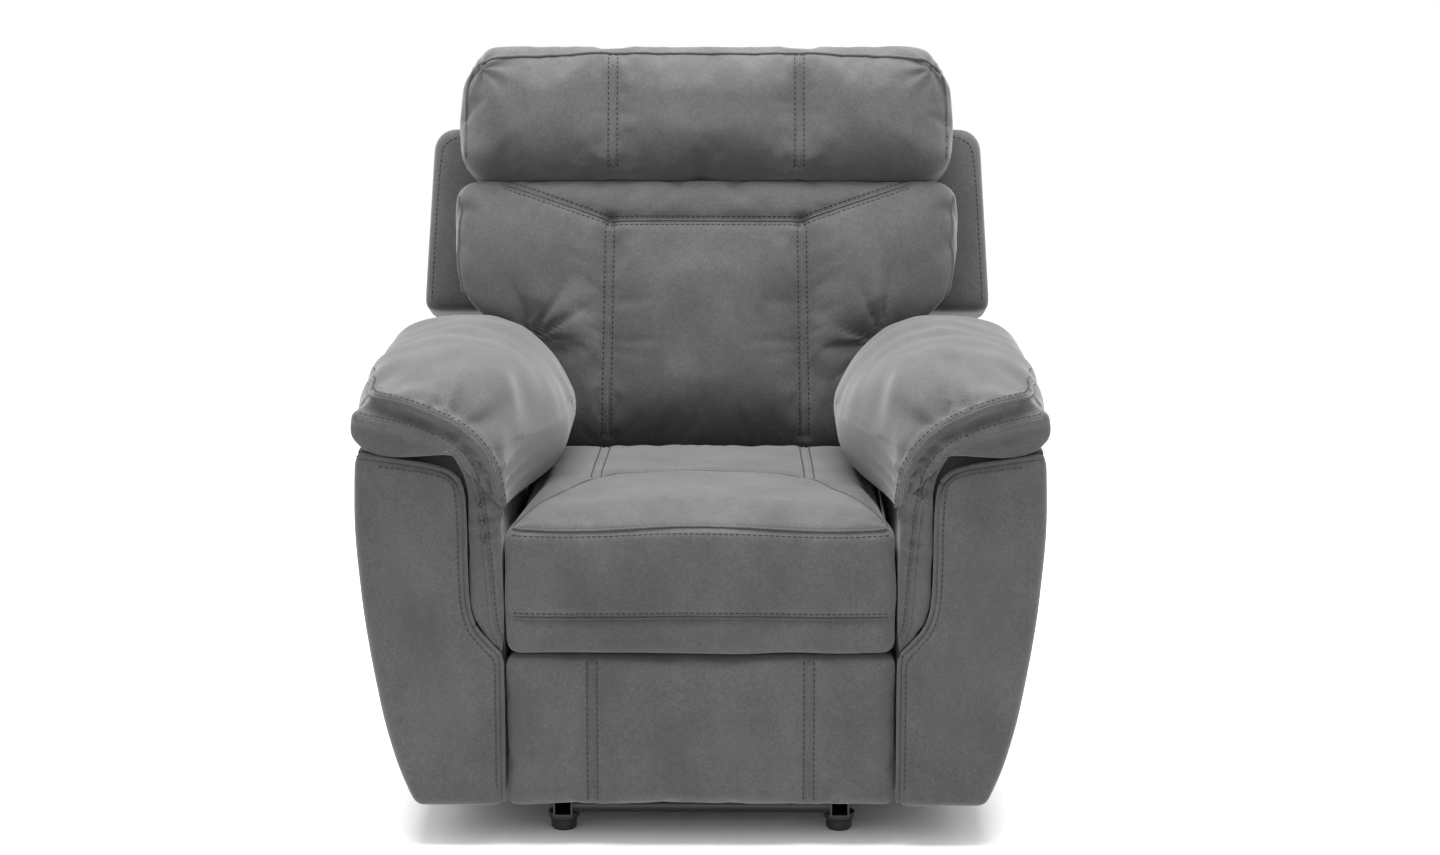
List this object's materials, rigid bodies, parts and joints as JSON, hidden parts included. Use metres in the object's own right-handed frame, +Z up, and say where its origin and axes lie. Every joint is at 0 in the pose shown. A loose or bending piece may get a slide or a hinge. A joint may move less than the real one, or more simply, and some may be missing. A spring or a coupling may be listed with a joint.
{
  "type": "recliner armchair",
  "caption": "Padded recliner armchair with pillow arms, fold-out footrest, gliding seat and coupled reclining back on a steel base.",
  "frame": {"origin": "on the floor, at the middle of the closed chair's bounding box", "axes": "+X to the viewer's right from the front, +Y to the rear, +Z up; the chair faces -Y"},
  "size_m": [0.9108, 0.93, 1.0203],
  "materials": {
    "upholstery": "soft matte grey suede-like upholstery over foam",
    "lining": "thin black non-woven lining, also stapled over the arms' inner boards",
    "black_steel": "satin black powder coat",
    "mechanism_steel": "dark grey coated pressed steel",
    "zinc_steel": "zinc plated",
    "spring_wire": "oil tempered wire",
    "black_plastic": "moulded black plastic",
    "plywood": "raw plywood",
    "timber": "raw sawn hardwood"
  },
  "bodies": {
    "base": {"base_rail_left": "black_steel", "base_rail_right": "black_steel", "base_front_tube": "black_steel", "base_rear_tube": "black_steel", "base_feet": "black_plastic", "base_pivot_brackets": "black_steel", "base_rivets": "zinc_steel", "arm_beam_front": "black_steel", "arm_beam_rear": "black_steel", "arm_cover_left": "upholstery", "arm_cover_right": "upholstery", "arm_pillow_left": "upholstery", "arm_pillow_right": "upholstery", "arm_inner_boards": "lining", "arm_outer_boards": "plywood", "arm_floor_boards": "plywood", "arm_front_boards": "plywood", "arm_rear_boards": "plywood", "arm_rest_boards": "plywood", "release_bezel_left": "black_plastic", "release_pin_left": "zinc_steel", "rear_flap": "lining", "rear_flap_batten": "plywood"},
    "release_lever": {"release_handle_left": "black_plastic"},
    "rear_swing_links": {"swing_links_rear": "mechanism_steel"},
    "front_swing_links": {"swing_links_front": "mechanism_steel"},
    "seat": {"seat_plate_left": "mechanism_steel", "seat_plate_right": "mechanism_steel", "seat_side_rail_left": "timber", "seat_side_rail_right": "timber", "seat_bolts": "zinc_steel", "seat_front_rail": "timber", "seat_rear_rail": "timber", "seat_springs": "spring_wire", "seat_cushion": "upholstery", "seat_rivets": "zinc_steel"},
    "footrest_rear_links": {"rear_links": "mechanism_steel", "footrest_torque_tube": "mechanism_steel", "rear_link_rivets": "zinc_steel"},
    "footrest_front_links": {"front_links": "mechanism_steel", "front_link_rivets": "zinc_steel"},
    "footrest_main_links": {"main_links": "mechanism_steel"},
    "footrest_top_links": {"top_links": "mechanism_steel", "top_link_rivets": "zinc_steel"},
    "footrest": {"footrest_brackets": "mechanism_steel", "footrest_rivets": "zinc_steel", "footrest_board": "plywood", "footrest_pad": "upholstery"},
    "backrest": {"back_bracket_left": "mechanism_steel", "back_bracket_right": "mechanism_steel", "back_post_left": "timber", "back_post_right": "timber", "back_bottom_rail": "timber", "back_middle_rail": "timber", "back_top_rail": "timber", "back_wing_boards": "plywood", "back_springs": "spring_wire", "lumbar_cushion": "upholstery", "headrest_cushion": "upholstery", "back_cover": "upholstery"}
  },
  "joints": [
    {"name": "recline_swing", "type": "hinge", "parent": "base", "child": "rear_swing_links", "pos_m": [0, 0.095, 0.07], "axis": [1, 0, 0], "range_deg": [0, 35]},
    {"name": "front_swing", "type": "hinge", "parent": "base", "child": "front_swing_links", "pos_m": [0, -0.09, 0.07], "axis": [1, 0, 0], "range_deg": [0, 35]},
    {"name": "seat_level", "type": "hinge", "parent": "rear_swing_links", "child": "seat", "pos_m": [0, 0.13363, 0.18888], "axis": [1, 0, 0], "range_deg": [-35, 0]},
    {"name": "back_recline", "type": "hinge", "parent": "seat", "child": "backrest", "pos_m": [0, 0.14, 0.33], "axis": [-1, 0, 0], "range_deg": [0, 32]},
    {"name": "footrest_open", "type": "hinge", "parent": "seat", "child": "footrest_rear_links", "pos_m": [0, -0.2358, 0.2269], "axis": [-1, 0, 0], "range_deg": [0, 97.1]},
    {"name": "footrest_front_link", "type": "hinge", "parent": "seat", "child": "footrest_front_links", "pos_m": [0, -0.27133, 0.25004], "axis": [-1, 0, 0], "range_deg": [0, 97.1]},
    {"name": "footrest_main_link", "type": "hinge", "parent": "footrest_rear_links", "child": "footrest_main_links", "pos_m": [0, -0.17745, 0.05599], "axis": [-1, 0, 0], "range_deg": [-97.1, 0]},
    {"name": "footrest_tilt", "type": "hinge", "parent": "footrest_main_links", "child": "footrest", "pos_m": [0, -0.38, 0.18787], "axis": [-1, 0, 0], "range_deg": [0, 90]},
    {"name": "footrest_top_link", "type": "hinge", "parent": "footrest_front_links", "child": "footrest_top_links", "pos_m": [0, -0.21522, 0.1089], "axis": [-1, 0, 0], "range_deg": [-97.3, 0]},
    {"name": "release_lever_pull", "type": "hinge", "parent": "base", "child": "release_lever", "pos_m": [-0.4415, -0.2047, 0.395], "axis": [0, 0, 1], "range_deg": [0, 30], "stiffness_Nm_per_rad": 0.4, "springref_deg": -11.46}
  ],
  "couplings": [
    {"joint": "front_swing", "follows": "recline_swing", "ratio": 1},
    {"joint": "seat_level", "follows": "recline_swing", "ratio": -1},
    {"joint": "back_recline", "follows": "recline_swing", "ratio": 0.9142},
    {"joint": "footrest_front_link", "follows": "footrest_open", "ratio": 1},
    {"joint": "footrest_main_link", "follows": "footrest_open", "ratio": -1},
    {"joint": "footrest_tilt", "follows": "footrest_open", "ratio": 0.9268},
    {"joint": "footrest_top_link", "follows": "footrest_open", "ratio": -1.002}
  ]
}
